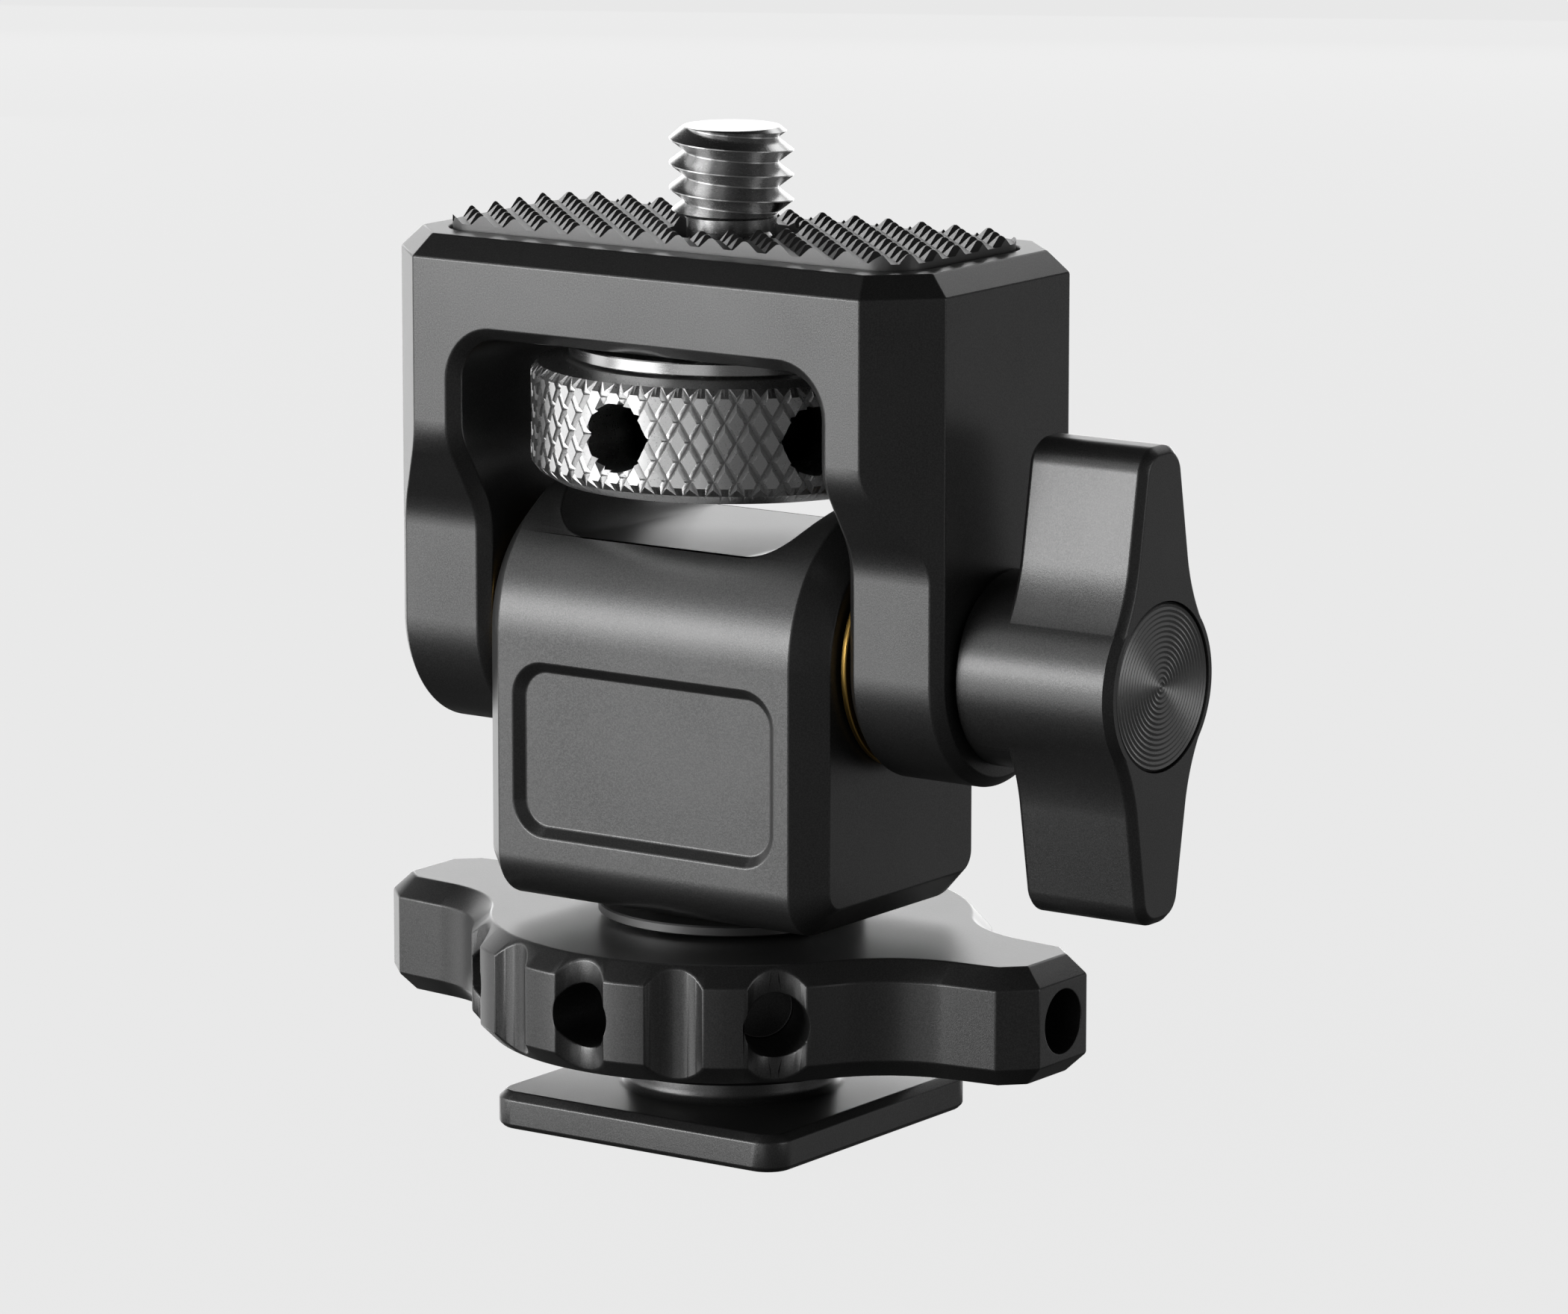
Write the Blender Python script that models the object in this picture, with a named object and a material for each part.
"""Tilt and swivel mount for a small camera monitor.

A cold-shoe foot carries a swivel block. A yoke tilts on the block's cross bolt and is locked by a wing knob.
A captive 1/4"-20 thumbscrew comes up through the yoke's rubber-padded top. A winged clamp wheel under the
block runs down the foot's threaded post and pinches the rails of the camera's shoe.

The origin is the middle of the foot's underside, on the swivel axis. +Z is up, the front is -Y, and the wing
knob is on the +X side. Sizes below are in millimetres. Each solid is made in metres.
"""

import math

import bmesh
import bpy
from mathutils import Vector

MM = 0.001
ROUND = 40
FINE_ROUND = 60
SMALL_ROUND = 20
SMOOTH_BELOW = math.radians(32)

# Joint axes
TILT_Z = 25.6

# Cold-shoe foot, boss, threaded post and journal
FOOT_HALF = 9.05
FOOT_CORNER = 1.5
FOOT_THICK = 1.95
FOOT_TOP_CHAMFER = 0.4
FOOT_BOTTOM_CHAMFER = 0.25
BOSS_R = 5.35
BOSS_TOP = 3.3
BOSS_FILLET = 0.5
POST_R = 4.9
POST_TOP = 10.7
POST_EDGE = 0.4
JOURNAL_R = 3.9
JOURNAL_TOP = 19.4
GROOVE_R = 2.9
GROOVE_LOW = 12.5
GROOVE_HIGH = 14.7

# Clamp wheel and the pressure washer under it
CLAMP_LOW = 4.78
CLAMP_HIGH = 10.88
CLAMP_R = 13.45
CLAMP_CHAMFER = 1.0
CLAMP_BORE_R = 5.15
WING_LENGTH = 20.4
WING_TIP_HALF = 3.75
WING_TIP_AT = 19.0
WING_TAPER = math.radians(7.1)
WING_CORNER = 1.6
WING_BLEND_R = 6.0
SCALLOP_R = 1.9
SCALLOP_DEPTH = 0.8
SCALLOP_ANGLES = [45 + 22.5 * step for step in range(5)]
TOMMY_R = 1.65
TOMMY_ANGLES = [0, 45, 90, 135, 180, 225, 270, 315]
TOMMY_FLOOR_R = 8.5
WING_HOLE_FLOOR_R = 15.0
PRESSURE_R = 7.5
PRESSURE_BORE_R = 5.65
PRESSURE_LOW = 3.4
PRESSURE_HIGH = 4.5
PRESSURE_EDGE = 0.15

# Swivel block
BLOCK_HALF_X = 10.55
BLOCK_R = 7.95
BLOCK_LOW = 11.8
BLOCK_FILLET = 2.5
BLOCK_CHAMFER = 1.5
BLOCK_BORE_R = 4.1
BLOCK_BORE_TOP = 19.7
TROUGH_Z = 30.85
TROUGH_HALF = 4.9
TROUGH_FILLET = 3.2
TROUGH_SLOPE = math.radians(53)
POCKET_HALF_X = 8.13
POCKET_LOW = 15.35
POCKET_HIGH = 24.45
POCKET_CORNER = 1.9
POCKET_DEPTH = 0.5
BOLT_BORE_R = 3.3
SWIVEL_WASHER_R = 6.9
SWIVEL_WASHER_LOW = 11.05
SWIVEL_WASHER_HIGH = 11.6
WASHER_EDGE = 0.1
PIN_R = 0.9
PIN_X = 4.0
PIN_Z = 13.6
PIN_FRONT = -4.0
PIN_REAR = 7.6
HOLE_GAP = 0.2
HOLE_END_GAP = 0.3
DRAG_Z = 17.4
DRAG_R = 1.4
DRAG_PLUG_REAR = 5.5
DRAG_SCREW_FRONT = 5.7
DRAG_SCREW_REAR = 7.7
DRAG_SOCKET_R = 0.75
DRAG_SOCKET_FLOOR = 6.6

# Yoke
YOKE_HALF_X = 16.85
YOKE_HALF_Y = 8.68
YOKE_TOP = 45.98
YOKE_CORNER = 3.08
HEAD_WASTE = 3.0
TOP_CHAMFER = 1.1
LEG_HALF_Y = 6.15
LEG_EDGE_CHAMFER = 0.55
STEP_HIGH = 36.5
STEP_FILLET = 3.5
STEP_SLOPE = math.radians(32)
WINDOW_HALF_X = 11.15
WINDOW_TOP = 40.9
WINDOW_CORNER = 2.3
WINDOW_CHAMFER = 0.6
RIGHT_LEG_BORE_R = 2.75
LEFT_LEG_BORE_R = 3.55
SCREW_HOLE_R = 3.45
PAD_POCKET_Z = 45.2
PAD_POCKET_GAP = 0.2

# Rubber pad
PAD_HALF_X = 14.45
PAD_HALF_Y = 5.85
PAD_CORNER = 2.2
PAD_LOW = 45.35
PAD_HIGH = 46.8
PAD_EDGE = 0.3
PAD_HOLE_R = 3.45

# Tilt bolt, its bush, washers and insert
BOLT_R = 2.45
BOLT_LEFT = -15.9
BOLT_RIGHT = 21.6
BOLT_TIP = 0.4
BUSH_R = 3.1
BUSH_BORE_R = 2.65
BUSH_HALF = 10.3
BRASS_R = 5.75
BRASS_BORE_R = 2.9
BRASS_INNER = 10.7
BRASS_OUTER = 11.0
INSERT_R = 3.3
INSERT_BORE_R = 2.65
INSERT_LEFT = -16.6
INSERT_RIGHT = -11.5
INSERT_EDGE = 0.2
KNOB_WASHER_R = 3.7
KNOB_WASHER_LEFT = 17.05
KNOB_WASHER_RIGHT = 17.35

# Wing knob, its cap and its screw
HUB_R = 4.9
HUB_LEFT = 17.05
HUB_RECESS_R = 3.9
HUB_RECESS_X = 17.55
KNOB_INNER = 19.2
KNOB_OUTER = 26.1
KNOB_R = 4.95
KNOB_HALF_LENGTH = 12.05
KNOB_TIP_HALF = 1.95
KNOB_TIP_AT = 10.2
KNOB_TAPER = math.radians(10)
KNOB_TIP_CORNER = 1.5
KNOB_BLEND_R = 9.0
KNOB_CHAMFER = 0.4
KNOB_INNER_CHAMFER = 0.3
KNOB_BORE_R = 2.65
KNOB_BORE_END = 21.85
CAP_R = 4.15
CAP_INNER = 25.6
CAP_OUTER = 25.95
CAP_RECESS_R = 4.3
CAP_RECESS_X = 25.4
CAP_EDGE = 0.1
KNOB_SCREW_R = 1.25
KNOB_SCREW_BORE_R = 1.5
KNOB_SCREW_HEAD_R = 2.5
KNOB_SCREW_SEAT_R = 2.8
KNOB_SCREW_SEAT_X = 22.7
KNOB_SCREW_LEFT = 17.0
KNOB_SCREW_HEAD_LEFT = 22.9
KNOB_SCREW_HEAD_RIGHT = 24.9
KNOB_SOCKET_R = 1.2
KNOB_SOCKET_FLOOR = 23.6

# Mounting screw and thumbwheel
THREAD_R = 3.175
THREAD_LOW = 47.3
THREAD_RUN_OUT = 0.4
SCREW_TOP = 51.67
SCREW_TIP_CHAMFER = 0.55
NECK_R = 2.3
NECK_LOW = 45.6
SHANK_R = 3.0
SCREW_LOW = 34.1
WHEEL_R = 10.25
WHEEL_RIM_R = 9.92
WHEEL_TOP_R = 8.6
WHEEL_BOTTOM_R = 9.2
WHEEL_LOW = 33.75
WHEEL_HIGH = 39.9
KNURL_LOW = 34.7
KNURL_HIGH = 39.25
KNURL_BEVEL = 0.44
WHEEL_BORE_R = 3.2
WHEEL_HOLE_R = 1.75
WHEEL_HOLE_FLOOR_R = 5.0
WHEEL_HOLE_ANGLES = [30 + 60 * step for step in range(6)]
GRUB_ANGLE = 90
GRUB_R = 1.5
GRUB_OUTER = 6.6
GRUB_SOCKET_R = 0.8
GRUB_SOCKET_FLOOR = 5.2
COLLAR_R = 8.3
COLLAR_BORE_R = 3.25
COLLAR_LOW = 40.05
COLLAR_HIGH = 40.7


# ---------------------------------------------------------------- materials


def finish(name, colour, roughness, metallic):
    """A plain Principled BSDF material. Colours are linear RGB."""
    material = bpy.data.materials.new(name)
    material.use_nodes = True
    shader = material.node_tree.nodes["Principled BSDF"]
    shader.inputs["Base Color"].default_value = (*colour, 1.0)
    shader.inputs["Roughness"].default_value = roughness
    shader.inputs["Metallic"].default_value = metallic
    material.diffuse_color = (*colour, 1.0)
    return material


def anodised(name, shade=0.035):
    return finish(name + "_anodised", (shade, shade, shade), 0.45, 0.9)


def steel(name):
    return finish(name + "_steel", (0.62, 0.62, 0.63), 0.22, 1.0)


def brass(name):
    return finish(name + "_brass", (0.72, 0.47, 0.16), 0.25, 1.0)


def plastic(name, shade):
    return finish(name + "_plastic", (shade, shade, shade), 0.55, 0.0)


# ---------------------------------------------------------------- outlines


def arc(centre, radius, start, stop, steps):
    """Points on a circle from angle start to angle stop, in degrees, ends included."""
    points = []
    for step in range(steps + 1):
        angle = math.radians(start + (stop - start) * step / steps)
        points.append((centre[0] + radius * math.cos(angle), centre[1] + radius * math.sin(angle)))
    return points


def rounded_rectangle(half_x, half_y, corner, steps=6):
    points = []
    for sign_x, sign_y, start in ((1, 1, 0), (-1, 1, 90), (-1, -1, 180), (1, -1, 270)):
        centre = (sign_x * (half_x - corner), sign_y * (half_y - corner))
        points += arc(centre, corner, start, start + 90, steps)
    return points


def round_with_wing(hub_radius, tip, taper, blend_radius, steps):
    """One quadrant of a disc that flows into a wing along +X, from the disc's top to the wing's flank.

    tip is a point on the flank, which closes on the wing's centre line by the angle taper. The blend is a
    hollow arc that touches both the disc and the flank.
    """
    along = Vector((math.cos(taper), -math.sin(taper)))
    outward = Vector((math.sin(taper), math.cos(taper)))
    lift = outward.dot(Vector(tip)) + blend_radius
    reach = math.sqrt((hub_radius + blend_radius) ** 2 - lift**2)
    centre = outward * lift + along * reach
    on_disc = math.degrees(math.atan2(centre.y, centre.x))
    on_flank = math.degrees(math.atan2(-outward.y, -outward.x)) % 360
    points = arc((0, 0), hub_radius, 90, on_disc, steps)
    points += arc(centre, blend_radius, on_disc + 180, on_flank, steps)[1:]
    return points


def mirrored(quadrant):
    """A closed outline from one quadrant that runs from the +Y axis to the +X side, clockwise."""
    right = quadrant + [(x, -y) for x, y in reversed(quadrant)]
    left = [(-x, -y) for x, y in right]
    outline = []
    for point in right + left:
        if not outline or math.dist(point, outline[-1]) > 1e-6:
            outline.append(point)
    if math.dist(outline[0], outline[-1]) < 1e-6:
        outline.pop()
    return outline[::-1]


# ---------------------------------------------------------------- solids


def turned_point(axis, radius, angle, height):
    across = radius * math.cos(angle)
    up = radius * math.sin(angle)
    if axis == "X":
        return Vector((height, across, up))
    if axis == "Y":
        return Vector((up, height, across))
    return Vector((across, up, height))


def flat_point(axis, point, height):
    """An outline's point on a plane square to the axis: (x, y) for Z, (y, z) for X and (x, z) for Y."""
    if axis == "X":
        return Vector((height, point[0], point[1]))
    if axis == "Y":
        return Vector((point[0], height, point[1]))
    return Vector((point[0], point[1], height))


def as_mesh(mesh, name):
    """A mesh datablock in metres with its faces turned outwards."""
    bmesh.ops.remove_doubles(mesh, verts=mesh.verts, dist=1e-4)
    bmesh.ops.recalc_face_normals(mesh, faces=mesh.faces)
    bmesh.ops.scale(mesh, vec=(MM, MM, MM), verts=mesh.verts)
    data = bpy.data.meshes.new(name)
    mesh.to_mesh(data)
    mesh.free()
    return data


def turned(name, axis, profile, at=(0, 0, 0), steps=ROUND):
    """A solid of revolution. The profile's points are (radius, height).

    It is a closed loop for a ring, or starts and ends at radius 0 for a solid piece.
    """
    mesh = bmesh.new()
    place = Vector(at)
    rings = []
    for radius, height in profile:
        if radius == 0:
            rings.append([mesh.verts.new(place + turned_point(axis, 0, 0, height))] * steps)
            continue
        ring = []
        for step in range(steps):
            angle = 2 * math.pi * step / steps
            ring.append(mesh.verts.new(place + turned_point(axis, radius, angle, height)))
        rings.append(ring)
    closed = profile[0][0] > 0
    for index in range(len(rings) if closed else len(rings) - 1):
        first = rings[index]
        second = rings[(index + 1) % len(rings)]
        for step in range(steps):
            after = (step + 1) % steps
            corners = []
            for vertex in (first[step], first[after], second[after], second[step]):
                if vertex not in corners:
                    corners.append(vertex)
            mesh.faces.new(corners)
    return new_object(name, as_mesh(mesh, name))


def prism(name, axis, outline, low, high, low_chamfer=0, high_chamfer=0):
    """An outline extruded along the axis, with its end edges chamfered."""
    mesh = bmesh.new()
    base = [mesh.verts.new(flat_point(axis, point, low)) for point in outline]
    top = [mesh.verts.new(flat_point(axis, point, high)) for point in outline]
    floor = mesh.faces.new(base)
    lid = mesh.faces.new(top)
    for index in range(len(outline)):
        after = (index + 1) % len(outline)
        mesh.faces.new((base[index], base[after], top[after], top[index]))
    bmesh.ops.recalc_face_normals(mesh, faces=mesh.faces)
    for face, width in ((floor, low_chamfer), (lid, high_chamfer)):
        if width:
            bmesh.ops.bevel(mesh, geom=list(face.edges), offset=width, offset_type="OFFSET", segments=1,
                            profile=0.5, affect="EDGES", clamp_overlap=False)
    return new_object(name, as_mesh(mesh, name))


def rod(name, axis, radius, low, high, at=(0, 0, 0), steps=SMALL_ROUND):
    return turned(name, axis, [(0, low), (radius, low), (radius, high), (0, high)], at, steps)


def ring(name, axis, outer, inner, low, high, chamfer=0, at=(0, 0, 0), steps=ROUND):
    profile = [(inner, low), (outer - chamfer, low), (outer, low + chamfer),
               (outer, high - chamfer), (outer - chamfer, high), (inner, high)]
    if not chamfer:
        profile = [(inner, low), (outer, low), (outer, high), (inner, high)]
    return turned(name, axis, profile, at, steps)


def radial_hole(name, radius, near, far, degrees, height):
    """A rod that points away from the Z axis at an angle, for a hole drilled from a rim."""
    drill = rod(name, "X", radius, near, far, steps=SMALL_ROUND)
    turn = math.radians(degrees)
    for vertex in drill.data.vertices:
        x, y, z = vertex.co
        vertex.co = (x * math.cos(turn) - y * math.sin(turn),
                     x * math.sin(turn) + y * math.cos(turn), z + height * MM)
    return drill


def new_object(name, data):
    piece = bpy.data.objects.new(name, data)
    bpy.context.scene.collection.objects.link(piece)
    return piece


def combine(piece, operation, others):
    """Joins or cuts the piece with other solids, bakes the result into its mesh and removes the others."""
    for other in others:
        boolean = piece.modifiers.new(other.name, "BOOLEAN")
        boolean.operation = operation
        boolean.solver = "EXACT"
        boolean.object = other
    bpy.context.view_layer.update()
    evaluated = piece.evaluated_get(bpy.context.evaluated_depsgraph_get())
    data = bpy.data.meshes.new_from_object(evaluated)
    piece.modifiers.clear()
    piece.data = data
    for other in others:
        bpy.data.objects.remove(other)
    return piece


def cut(piece, *cutters):
    return combine(piece, "DIFFERENCE", cutters)


def join(piece, *others):
    return combine(piece, "UNION", others)


def chamfer_where(piece, width, wanted):
    """Chamfers the edges whose two ends, in millimetres, satisfy wanted."""
    mesh = bmesh.new()
    mesh.from_mesh(piece.data)
    bmesh.ops.remove_doubles(mesh, verts=mesh.verts, dist=1e-7)
    edges = []
    for edge in mesh.edges:
        sharp = len(edge.link_faces) == 2 and edge.calc_face_angle(0) > math.radians(20)
        if sharp and wanted(edge.verts[0].co / MM) and wanted(edge.verts[1].co / MM):
            edges.append(edge)
    bmesh.ops.bevel(mesh, geom=edges, offset=width * MM, offset_type="OFFSET", segments=1,
                    profile=0.5, affect="EDGES", clamp_overlap=False)
    mesh.to_mesh(piece.data)
    mesh.free()
    return piece


def complete(piece, material, parent):
    """Gives a piece its finish and smooth shading, and moves its origin to its joint's axis."""
    piece.data.materials.clear()
    piece.data.materials.append(material)
    piece.data.shade_smooth()
    piece.data.set_sharp_from_angle(angle=SMOOTH_BELOW)
    pivot = parent.matrix_world.translation
    for vertex in piece.data.vertices:
        vertex.co -= pivot
    piece.parent = parent
    return piece


def pivot(name, at, parent=None):
    """An empty on a joint's axis."""
    empty = bpy.data.objects.new(name, None)
    empty.empty_display_size = 5 * MM
    bpy.context.scene.collection.objects.link(empty)
    empty.parent = parent
    offset = parent.matrix_world.translation if parent else Vector((0, 0, 0))
    empty.location = Vector(at) * MM - offset
    bpy.context.view_layer.update()
    return empty


# ---------------------------------------------------------------- foot and clamp


def make_shoe_foot(root):
    outline = rounded_rectangle(FOOT_HALF, FOOT_HALF, FOOT_CORNER)
    foot = prism("shoe_foot", "Z", outline, 0, FOOT_THICK, FOOT_BOTTOM_CHAMFER, FOOT_TOP_CHAMFER)
    inside = FOOT_THICK / 2
    rounding = 0.3 * BOSS_FILLET
    profile = [
        (0, inside), (BOSS_R + BOSS_FILLET, inside), (BOSS_R + BOSS_FILLET, FOOT_THICK),
        (BOSS_R + rounding, FOOT_THICK + rounding), (BOSS_R, FOOT_THICK + BOSS_FILLET),
        (BOSS_R, BOSS_TOP), (POST_R, BOSS_TOP), (POST_R, POST_TOP - POST_EDGE), (POST_R - POST_EDGE, POST_TOP),
        (JOURNAL_R, POST_TOP), (JOURNAL_R, GROOVE_LOW), (GROOVE_R, GROOVE_LOW), (GROOVE_R, GROOVE_HIGH),
        (JOURNAL_R, GROOVE_HIGH), (JOURNAL_R, JOURNAL_TOP - POST_EDGE),
        (JOURNAL_R - POST_EDGE, JOURNAL_TOP), (0, JOURNAL_TOP),
    ]
    join(foot, turned("post", "Z", profile))
    complete(foot, anodised("shoe_foot"), root)


def clamp_wheel_outline():
    quadrant = round_with_wing(CLAMP_R, (WING_TIP_AT, WING_TIP_HALF), WING_TAPER, WING_BLEND_R, 10)
    corner_x = WING_LENGTH - WING_CORNER
    corner_y = WING_TIP_HALF + (WING_TIP_AT - corner_x) * math.tan(WING_TAPER)
    quadrant += [(corner_x, corner_y), (WING_LENGTH, corner_y - WING_CORNER)]
    return mirrored(quadrant)


def make_clamp_wheel(axis):
    outline = clamp_wheel_outline()
    wheel = prism("clamp_wheel", "Z", outline, CLAMP_LOW, CLAMP_HIGH, CLAMP_CHAMFER, CLAMP_CHAMFER)
    cutters = [rod("bore", "Z", CLAMP_BORE_R, CLAMP_LOW - 1, CLAMP_HIGH + 1, steps=ROUND)]
    scallop_reach = CLAMP_R - SCALLOP_DEPTH + SCALLOP_R
    for side in (0, 180):
        for degrees in SCALLOP_ANGLES:
            turn = math.radians(degrees + side)
            at = (scallop_reach * math.cos(turn), scallop_reach * math.sin(turn), 0)
            cutters.append(rod("scallop", "Z", SCALLOP_R, CLAMP_LOW - 1, CLAMP_HIGH + 1, at))
    middle = (CLAMP_LOW + CLAMP_HIGH) / 2
    for degrees in TOMMY_ANGLES:
        in_wing = degrees % 180 == 0
        near = WING_HOLE_FLOOR_R if in_wing else TOMMY_FLOOR_R
        cutters.append(radial_hole("tommy_hole", TOMMY_R, near, WING_LENGTH + 2, degrees, middle))
    cut(wheel, *cutters)
    complete(wheel, anodised("clamp_wheel"), axis)


def make_pressure_washer(axis):
    washer = ring(
        "pressure_washer", "Z", PRESSURE_R, PRESSURE_BORE_R, PRESSURE_LOW, PRESSURE_HIGH, PRESSURE_EDGE
    )
    complete(washer, plastic("pressure_washer", 0.02), axis)


# ---------------------------------------------------------------- swivel block


def block_outline():
    """The block's side view as (y, z): a round top on the tilt axis and two filleted corners below."""
    low = BLOCK_LOW + BLOCK_FILLET
    side = BLOCK_R - BLOCK_FILLET
    points = arc((0, TILT_Z), BLOCK_R, 0, 180, 36)
    points += arc((-side, low), BLOCK_FILLET, 180, 270, 8)
    points += arc((side, low), BLOCK_FILLET, 270, 360, 8)
    return points


def trough_cutter():
    """The cut across the block's top that gives the fingers room under the thumbwheel."""
    slope = math.degrees(TROUGH_SLOPE)
    right = arc((TROUGH_HALF, TROUGH_Z + TROUGH_FILLET), TROUGH_FILLET, 270, 270 + slope, 8)
    top = TILT_Z + BLOCK_R + 1
    end_x, end_z = right[-1]
    right.append((end_x + (top - end_z) / math.tan(TROUGH_SLOPE), top))
    left = [(-x, z) for x, z in reversed(right)]
    return prism("trough", "Y", left + right, -BLOCK_R - 2, BLOCK_R + 2)


def pocket_cutter():
    """The shallow front pocket, whose walls slope in at 45 degrees."""
    over = 0.4
    middle = (POCKET_LOW + POCKET_HIGH) / 2
    half_z = (POCKET_HIGH - POCKET_LOW) / 2
    mesh = bmesh.new()
    loops = []
    for inset, y in ((-over, -BLOCK_R - over), (POCKET_DEPTH, -BLOCK_R + POCKET_DEPTH)):
        outline = rounded_rectangle(POCKET_HALF_X - inset, half_z - inset, POCKET_CORNER - inset)
        loops.append([mesh.verts.new((x, y, middle + z)) for x, z in outline])
    outer, inner = loops
    mesh.faces.new(outer)
    mesh.faces.new(inner)
    for index in range(len(outer)):
        after = (index + 1) % len(outer)
        mesh.faces.new((outer[index], outer[after], inner[after], inner[index]))
    return new_object("pocket", as_mesh(mesh, "pocket"))


def make_swivel_block(axis):
    outline = block_outline()
    block = prism("swivel_block", "X", outline, -BLOCK_HALF_X, BLOCK_HALF_X, BLOCK_CHAMFER, BLOCK_CHAMFER)
    cutters = [
        trough_cutter(),
        pocket_cutter(),
        rod("post_bore", "Z", BLOCK_BORE_R, BLOCK_LOW - 1, BLOCK_BORE_TOP, steps=ROUND),
        rod("bolt_bore", "X", BOLT_BORE_R, -BLOCK_HALF_X - 1, BLOCK_HALF_X + 1, (0, 0, TILT_Z), ROUND),
        rod("drag_hole", "Y", DRAG_R + HOLE_GAP, GROOVE_R, BLOCK_R + 1, (0, 0, DRAG_Z)),
    ]
    for side in (-1, 1):
        at = (side * PIN_X, 0, PIN_Z)
        cutters.append(rod("pin_hole", "Y", PIN_R + HOLE_GAP, PIN_FRONT - HOLE_END_GAP, BLOCK_R + 1, at))
    cut(block, *cutters)
    complete(block, anodised("swivel_block"), axis)


def make_swivel_internals(axis):
    washer = ring(
        "swivel_washer", "Z", SWIVEL_WASHER_R, BLOCK_BORE_R, SWIVEL_WASHER_LOW, SWIVEL_WASHER_HIGH, WASHER_EDGE
    )
    complete(washer, steel("swivel_washer"), axis)
    for side, word in ((-1, "left"), (1, "right")):
        name = "retaining_pin_" + word
        pin = rod(name, "Y", PIN_R, PIN_FRONT, PIN_REAR, (side * PIN_X, 0, PIN_Z))
        complete(pin, steel(name), axis)
    at = (0, 0, DRAG_Z)
    plug = rod("friction_plug", "Y", DRAG_R, JOURNAL_R + 0.15, DRAG_PLUG_REAR, at)
    complete(plug, plastic("friction_plug", 0.75), axis)
    screw = rod("friction_screw", "Y", DRAG_R, DRAG_SCREW_FRONT, DRAG_SCREW_REAR, at)
    cut(screw, rod("hex_socket", "Y", DRAG_SOCKET_R, DRAG_SOCKET_FLOOR, DRAG_SCREW_REAR + 1, at, 6))
    complete(screw, steel("friction_screw"), axis)
    at = (0, 0, TILT_Z)
    bush = ring("bolt_bushing", "X", BUSH_R, BUSH_BORE_R, -BUSH_HALF, BUSH_HALF, 0, at, SMALL_ROUND)
    complete(bush, plastic("bolt_bushing", 0.6), axis)


# ---------------------------------------------------------------- yoke


def yoke_outline():
    """The yoke's side view as (y, z): a deep head, legs that step in, and round ends on the tilt axis.

    The head is left too tall by HEAD_WASTE, and is cut level before its top edge is chamfered.
    """
    slope = math.degrees(STEP_SLOPE)
    rise = STEP_FILLET * math.sin(STEP_SLOPE)
    sink = STEP_FILLET * (1 - math.cos(STEP_SLOPE))
    run = YOKE_HALF_Y - LEG_HALF_Y - 2 * sink
    step_low = STEP_HIGH - 2 * rise - run / math.tan(STEP_SLOPE)
    right = arc((LEG_HALF_Y + STEP_FILLET, step_low), STEP_FILLET, 180, 180 - slope, 6)
    right += arc((YOKE_HALF_Y - STEP_FILLET, STEP_HIGH), STEP_FILLET, -slope, 0, 6)
    right.append((YOKE_HALF_Y, YOKE_TOP + HEAD_WASTE))
    left = [(-y, z) for y, z in reversed(right)]
    end = arc((0, TILT_Z), LEG_HALF_Y, 180, 360, 32)
    return right + left + end


def corner_cutters():
    """Four upright wedges that leave the yoke's 45 degree corners."""
    reach = YOKE_HALF_X + YOKE_HALF_Y - YOKE_CORNER + 0.01
    far = 6.0
    wedges = []
    for sign_x in (-1, 1):
        for sign_y in (-1, 1):
            corner = [(YOKE_HALF_X + 1, reach - YOKE_HALF_X - 1), (YOKE_HALF_X + far, YOKE_HALF_Y + far),
                      (reach - YOKE_HALF_Y - 1, YOKE_HALF_Y + 1)]
            outline = [(sign_x * x, sign_y * y) for x, y in corner]
            wedges.append(prism("corner", "Z", outline, TILT_Z + 1.5, YOKE_TOP + 2))
    return wedges


def window_cutter():
    corner_z = WINDOW_TOP - WINDOW_CORNER
    corner_x = WINDOW_HALF_X - WINDOW_CORNER
    low = TILT_Z - LEG_HALF_Y - 3
    outline = [(WINDOW_HALF_X, low)]
    outline += arc((corner_x, corner_z), WINDOW_CORNER, 0, 90, 8)
    outline += arc((-corner_x, corner_z), WINDOW_CORNER, 90, 180, 8)
    outline.append((-WINDOW_HALF_X, low))
    return prism("window", "Y", outline, -YOKE_HALF_Y - 2, YOKE_HALF_Y + 2)


def on_window(point):
    """Whether a point lies on the window's wall."""
    close = 0.02
    corner_x = WINDOW_HALF_X - WINDOW_CORNER
    corner_z = WINDOW_TOP - WINDOW_CORNER
    if abs(abs(point.x) - WINDOW_HALF_X) < close and point.z < corner_z + close:
        return True
    if abs(point.z - WINDOW_TOP) < close and abs(point.x) < corner_x + close:
        return True
    from_corner = math.hypot(abs(point.x) - corner_x, point.z - corner_z)
    above = point.z > corner_z - close and abs(point.x) > corner_x - close
    return above and abs(from_corner - WINDOW_CORNER) < 2 * close


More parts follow.
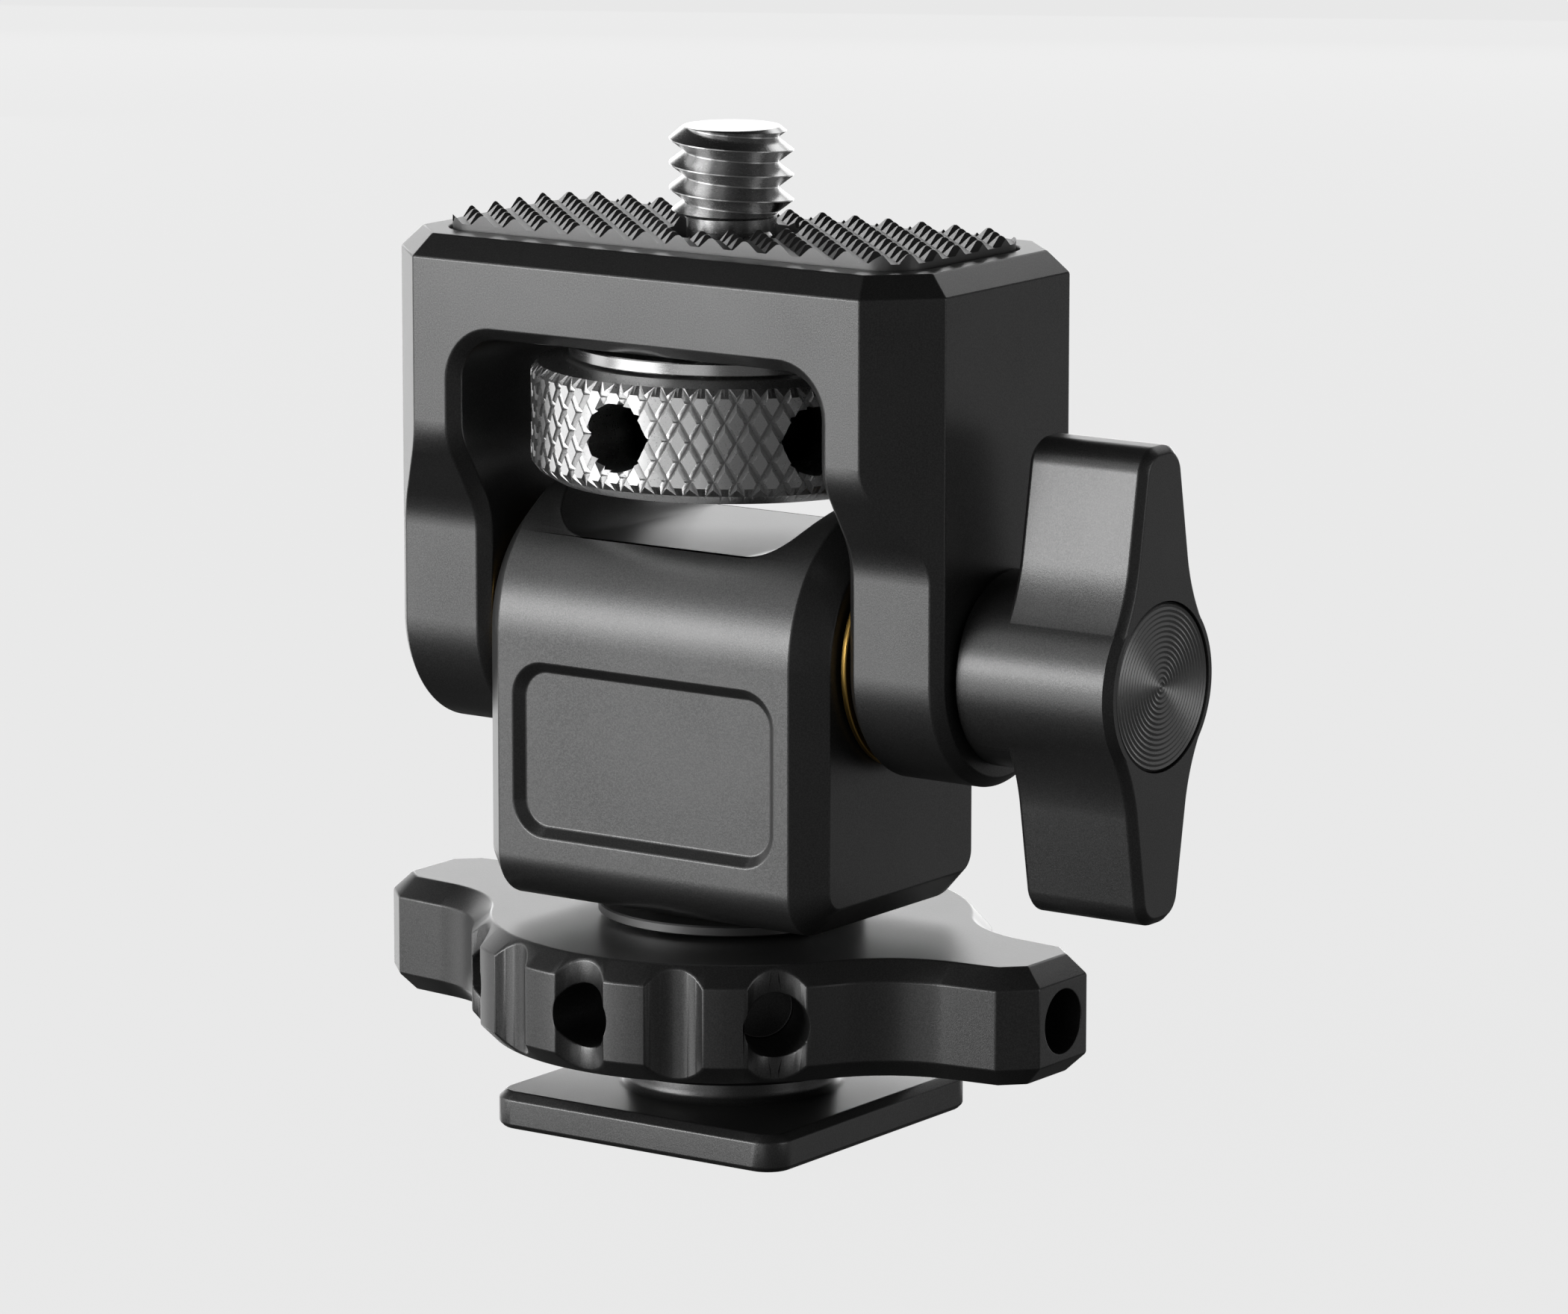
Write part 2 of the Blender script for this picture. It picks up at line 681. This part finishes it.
def make_yoke(axis):
    yoke = prism("yoke", "X", yoke_outline(), -YOKE_HALF_X, YOKE_HALF_X, LEG_EDGE_CHAMFER, LEG_EDGE_CHAMFER)
    above = rounded_rectangle(YOKE_HALF_X + 2, YOKE_HALF_Y + 2, 1)
    waste = prism("waste", "Z", above, YOKE_TOP, YOKE_TOP + HEAD_WASTE + 2)
    cut(yoke, *corner_cutters(), window_cutter(), waste)
    chamfer_where(yoke, WINDOW_CHAMFER, on_window)
    chamfer_where(yoke, TOP_CHAMFER, lambda point: abs(point.z - YOKE_TOP) < 0.01)
    gap = PAD_POCKET_GAP
    pocket = rounded_rectangle(PAD_HALF_X + gap, PAD_HALF_Y + gap, PAD_CORNER + gap)
    cut(
        yoke,
        prism("pad_pocket", "Z", pocket, PAD_POCKET_Z, YOKE_TOP + 1),
        rod("screw_hole", "Z", SCREW_HOLE_R, WINDOW_TOP - 1, YOKE_TOP + 1, steps=ROUND),
        rod("right_bore", "X", RIGHT_LEG_BORE_R, 0, YOKE_HALF_X + 1, (0, 0, TILT_Z)),
        rod("left_bore", "X", LEFT_LEG_BORE_R, -YOKE_HALF_X - 1, 0, (0, 0, TILT_Z)),
    )
    complete(yoke, anodised("yoke"), axis)


def make_yoke_fittings(axis):
    outline = rounded_rectangle(PAD_HALF_X, PAD_HALF_Y, PAD_CORNER)
    pad = prism("rubber_pad", "Z", outline, PAD_LOW, PAD_HIGH, 0, PAD_EDGE)
    cut(pad, rod("pad_hole", "Z", PAD_HOLE_R, PAD_LOW - 1, PAD_HIGH + 1, steps=ROUND))
    complete(pad, plastic("rubber_pad", 0.012), axis)
    at = (0, 0, TILT_Z)
    left = ring("brass_washer_left", "X", BRASS_R, BRASS_BORE_R, -BRASS_OUTER, -BRASS_INNER, at=at)
    right = ring("brass_washer_right", "X", BRASS_R, BRASS_BORE_R, BRASS_INNER, BRASS_OUTER, at=at)
    for washer in (left, right):
        complete(washer, brass(washer.name), axis)
    insert = ring(
        "threaded_insert", "X", INSERT_R, INSERT_BORE_R, INSERT_LEFT, INSERT_RIGHT, INSERT_EDGE, at, SMALL_ROUND
    )
    complete(insert, steel("threaded_insert"), axis)


# ---------------------------------------------------------------- wing knob and bolt


def knob_outline():
    """The knob's end view as (y, z), with a wing up and a wing down."""
    wing = round_with_wing(KNOB_R, (KNOB_TIP_AT, KNOB_TIP_HALF), KNOB_TAPER, KNOB_BLEND_R, 10)
    corner_x = KNOB_HALF_LENGTH - KNOB_TIP_CORNER
    flank = KNOB_TIP_HALF + (KNOB_TIP_AT - corner_x) * math.tan(KNOB_TAPER)
    wing += arc((corner_x, flank - KNOB_TIP_CORNER), KNOB_TIP_CORNER, 80, 0, 6)
    return [(-across, TILT_Z + along) for along, across in mirrored(wing)]


def make_tilt_knob(axis):
    at = (0, 0, TILT_Z)
    knob = prism("tilt_knob", "X", knob_outline(), KNOB_INNER, KNOB_OUTER, KNOB_INNER_CHAMFER, KNOB_CHAMFER)
    join(knob, rod("hub", "X", HUB_R, HUB_LEFT, KNOB_INNER + 2, at, ROUND))
    bore = [
        (0, HUB_LEFT - 1), (HUB_RECESS_R, HUB_LEFT - 1), (HUB_RECESS_R, HUB_RECESS_X), (KNOB_BORE_R, HUB_RECESS_X),
        (KNOB_BORE_R, KNOB_BORE_END),
        (KNOB_SCREW_BORE_R, KNOB_BORE_END), (KNOB_SCREW_BORE_R, KNOB_SCREW_SEAT_X),
        (KNOB_SCREW_SEAT_R, KNOB_SCREW_SEAT_X), (KNOB_SCREW_SEAT_R, CAP_RECESS_X),
        (CAP_RECESS_R, CAP_RECESS_X), (CAP_RECESS_R, KNOB_OUTER + 1), (0, KNOB_OUTER + 1),
    ]
    cut(knob, turned("stepped_bore", "X", bore, at))
    complete(knob, anodised("tilt_knob"), axis)


def make_knob_fittings(axis):
    at = (0, 0, TILT_Z)
    cap_profile = [(0, CAP_INNER), (CAP_R, CAP_INNER), (CAP_R, CAP_OUTER - CAP_EDGE),
                   (CAP_R - CAP_EDGE, CAP_OUTER), (0, CAP_OUTER)]
    cap = turned("knob_cap", "X", cap_profile, at)
    complete(cap, anodised("knob_cap", 0.08), axis)
    bolt_profile = [
        (0, BOLT_LEFT), (BOLT_R - BOLT_TIP, BOLT_LEFT), (BOLT_R, BOLT_LEFT + BOLT_TIP), (BOLT_R, BOLT_RIGHT),
        (0, BOLT_RIGHT),
    ]
    bolt = turned("tilt_bolt", "X", bolt_profile, at, SMALL_ROUND)
    cut(bolt, rod("tapped_hole", "X", KNOB_SCREW_BORE_R, KNOB_SCREW_LEFT - HOLE_END_GAP, BOLT_RIGHT + 1, at))
    complete(bolt, steel("tilt_bolt"), axis)
    screw_profile = [
        (0, KNOB_SCREW_LEFT), (KNOB_SCREW_R, KNOB_SCREW_LEFT), (KNOB_SCREW_R, KNOB_SCREW_HEAD_LEFT),
        (KNOB_SCREW_HEAD_R, KNOB_SCREW_HEAD_LEFT), (KNOB_SCREW_HEAD_R, KNOB_SCREW_HEAD_RIGHT),
        (0, KNOB_SCREW_HEAD_RIGHT),
    ]
    screw = turned("knob_screw", "X", screw_profile, at, SMALL_ROUND)
    cut(screw, rod("hex_socket", "X", KNOB_SOCKET_R, KNOB_SOCKET_FLOOR, KNOB_SCREW_HEAD_RIGHT + 1, at, 6))
    complete(screw, steel("knob_screw"), axis)


def make_knob_washer(axis):
    at = (0, 0, TILT_Z)
    washer = ring("knob_washer", "X", KNOB_WASHER_R, BUSH_BORE_R, KNOB_WASHER_LEFT, KNOB_WASHER_RIGHT, at=at)
    complete(washer, steel("knob_washer"), axis)


# ---------------------------------------------------------------- mounting screw and thumbwheel


def make_mounting_screw(axis):
    profile = [
        (0, SCREW_LOW), (SHANK_R, SCREW_LOW), (SHANK_R, NECK_LOW), (NECK_R, NECK_LOW),
        (NECK_R, THREAD_LOW - THREAD_RUN_OUT), (THREAD_R, THREAD_LOW),
        (THREAD_R, SCREW_TOP - SCREW_TIP_CHAMFER), (THREAD_R - SCREW_TIP_CHAMFER, SCREW_TOP), (0, SCREW_TOP),
    ]
    screw = turned("mounting_screw", "Z", profile, steps=ROUND)
    complete(screw, steel("mounting_screw"), axis)
    collar = ring("screw_collar", "Z", COLLAR_R, COLLAR_BORE_R, COLLAR_LOW, COLLAR_HIGH, WASHER_EDGE)
    complete(collar, steel("screw_collar"), axis)


def make_thumbwheel(axis):
    profile = [
        (WHEEL_BORE_R, WHEEL_LOW), (WHEEL_BOTTOM_R, WHEEL_LOW), (WHEEL_RIM_R, KNURL_LOW - KNURL_BEVEL),
        (WHEEL_R, KNURL_LOW), (WHEEL_R, KNURL_HIGH), (WHEEL_RIM_R, KNURL_HIGH + KNURL_BEVEL),
        (WHEEL_TOP_R, WHEEL_HIGH), (WHEEL_BORE_R, WHEEL_HIGH),
    ]
    wheel = turned("thumbwheel", "Z", profile, steps=FINE_ROUND)
    middle = (KNURL_LOW + KNURL_HIGH) / 2
    drills = []
    for degrees in WHEEL_HOLE_ANGLES:
        near = WHEEL_BORE_R - 1 if degrees == GRUB_ANGLE else WHEEL_HOLE_FLOOR_R
        drills.append(radial_hole("finger_hole", WHEEL_HOLE_R, near, WHEEL_R + 2, degrees, middle))
    cut(wheel, *drills)
    complete(wheel, steel("thumbwheel"), axis)
    grub = rod("wheel_grub_screw", "Y", GRUB_R, WHEEL_BORE_R + 0.05, GRUB_OUTER, (0, 0, middle))
    cut(grub, rod("hex_socket", "Y", GRUB_SOCKET_R, GRUB_SOCKET_FLOOR, GRUB_OUTER + 1, (0, 0, middle), 6))
    complete(grub, steel("wheel_grub_screw"), axis)


# ---------------------------------------------------------------- assembly


def main():
    for thing in list(bpy.data.objects):
        bpy.data.objects.remove(thing)
    root = pivot("foot_origin", (0, 0, 0))
    clamp_slide = pivot("clamp_slide_axis", (0, 0, PRESSURE_LOW), root)
    clamp_spin = pivot("clamp_spin_axis", (0, 0, CLAMP_LOW), clamp_slide)
    swivel = pivot("swivel_axis", (0, 0, BLOCK_LOW), root)
    tilt = pivot("tilt_axis", (0, 0, TILT_Z), swivel)
    knob_slide = pivot("knob_slide_axis", (KNOB_WASHER_LEFT, 0, TILT_Z), tilt)
    knob_spin = pivot("knob_spin_axis", (HUB_LEFT, 0, TILT_Z), knob_slide)
    screw_spin = pivot("screw_spin_axis", (0, 0, WHEEL_LOW), tilt)

    make_shoe_foot(root)
    make_pressure_washer(clamp_slide)
    make_clamp_wheel(clamp_spin)
    make_swivel_block(swivel)
    make_swivel_internals(swivel)
    make_yoke(tilt)
    make_yoke_fittings(tilt)
    make_knob_washer(knob_slide)
    make_tilt_knob(knob_spin)
    make_knob_fittings(knob_spin)
    make_mounting_screw(screw_spin)
    make_thumbwheel(screw_spin)


main()
